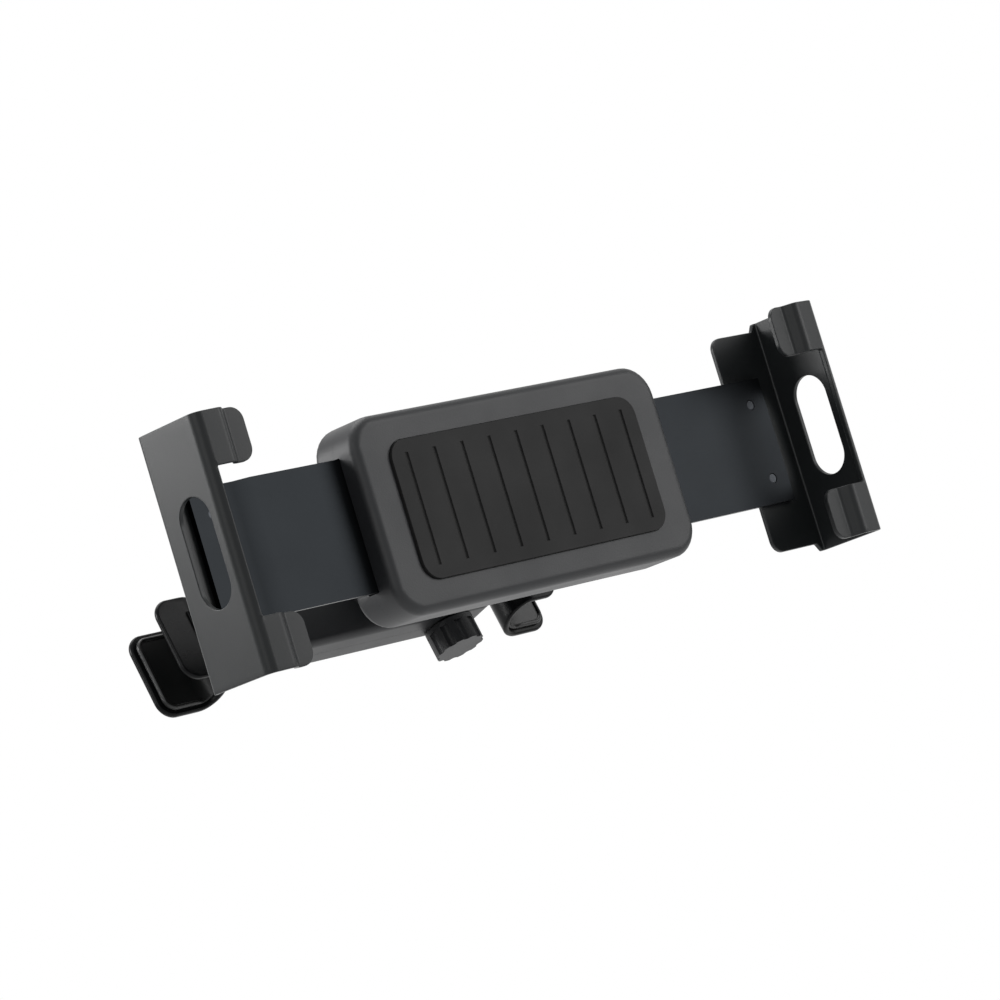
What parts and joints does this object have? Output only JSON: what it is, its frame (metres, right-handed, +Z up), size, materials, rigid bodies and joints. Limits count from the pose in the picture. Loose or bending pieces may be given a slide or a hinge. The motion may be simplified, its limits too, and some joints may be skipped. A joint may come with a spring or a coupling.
{
  "type": "headrest tablet mount",
  "caption": "Spring-loaded tablet cradle with folded sheet jaws on a ball joint, carried by a bar whose hooks grip the posts of a car headrest.",
  "frame": {"origin": "middle of the seat pad's face, where a tablet's back rests", "axes": "-Y out of the seat face towards the reader, +X along the travel of the jaws, +Z up along the jaws"},
  "size_m": [0.254, 0.1193, 0.075],
  "materials": {
    "jaw": "satin black powder coat on folded steel sheet",
    "arm": "plain rolled strip, dark grey",
    "shell": "fine moulded grain",
    "grip": "moulded grain, darker",
    "hook": "satin moulded nylon",
    "liner": "soft moulded rubber",
    "soft": "matt silicone rubber",
    "screw": "black oxide",
    "steel": "plain turned steel",
    "inner": "natural nylon",
    "brass": "turned"
  },
  "bodies": {
    "headrest_bar": {"ball_stud": "steel", "stud_screw": "screw", "bar_front": "shell", "bar_rear": "shell", "bar_screws": "screw", "hook_left": "hook", "hook_liner_left": "liner", "bar_spring": "steel", "knob_insert": "brass"},
    "sliding_hook": {"hook_right": "hook", "hook_liner_right": "liner"},
    "knob": {"lock_knob": "grip"},
    "upper_lining": {"seat_ring": "inner"},
    "lower_lining": {"friction_cup": "inner"},
    "cradle": {"housing_front": "shell", "housing_rear": "shell", "seat_pad": "soft", "housing_screws": "screw", "pinion_axle": "steel", "jaw_spring_left": "steel", "jaw_spring_right": "steel", "ball_socket": "shell", "socket_screws": "screw"},
    "ring": {"locking_ring": "grip"},
    "left_jaw": {"jaw_left": "jaw", "arm_left": "arm", "lip_pad_left_upper": "soft", "lip_pad_left_lower": "soft", "jaw_screws_left": "screw"},
    "right_jaw": {"jaw_right": "jaw", "arm_right": "arm", "lip_pad_right_upper": "soft", "lip_pad_right_lower": "soft", "jaw_screws_right": "screw"},
    "gear": {"pinion": "inner"}
  },
  "joints": [
    {"name": "hook_slide", "type": "slide", "parent": "headrest_bar", "child": "sliding_hook", "axis": [1, 0, 0], "range_m": [-0.008, 0.022], "deforming": ["bar_spring"]},
    {"name": "knob_turn", "type": "hinge", "parent": "headrest_bar", "child": "knob", "pos_m": [0.028, 0.08303, -0.03047], "axis": [0, -0.2672, -0.9636], "range_deg": [0, 360]},
    {"name": "head_spin", "type": "hinge", "parent": "headrest_bar", "child": "upper_lining", "pos_m": [0, 0.048, 0], "axis": [0, 0.9636, -0.2672], "range_deg": [-180, 180]},
    {"name": "head_pitch", "type": "hinge", "parent": "upper_lining", "child": "lower_lining", "pos_m": [0, 0.048, 0], "axis": [1, 0, 0], "range_deg": [-33, 2.5]},
    {"name": "head_yaw", "type": "hinge", "parent": "lower_lining", "child": "cradle", "pos_m": [0, 0.048, 0], "axis": [0, 0, 1], "range_deg": [-18, 18]},
    {"name": "ring_turn", "type": "hinge", "parent": "cradle", "child": "ring", "pos_m": [0, 0.048, 0], "axis": [0, 1, 0], "range_deg": [0, 270]},
    {"name": "jaw_left_slide", "type": "slide", "parent": "cradle", "child": "left_jaw", "axis": [1, 0, 0], "range_m": [-0.008, 0.032], "deforming": ["jaw_spring_left"]},
    {"name": "jaw_right_slide", "type": "slide", "parent": "cradle", "child": "right_jaw", "axis": [-1, 0, 0], "range_m": [-0.008, 0.032], "deforming": ["jaw_spring_right"]},
    {"name": "pinion_spin", "type": "hinge", "parent": "cradle", "child": "gear", "pos_m": [0, 0.0108, 0], "axis": [0, 1, 0], "range_deg": [-90, 270]}
  ],
  "couplings": [
    {"joint": "jaw_right_slide", "follows": "jaw_left_slide", "ratio": 1},
    {"joint": "pinion_spin", "follows": "jaw_left_slide", "rad_per_m": 133.33}
  ]
}
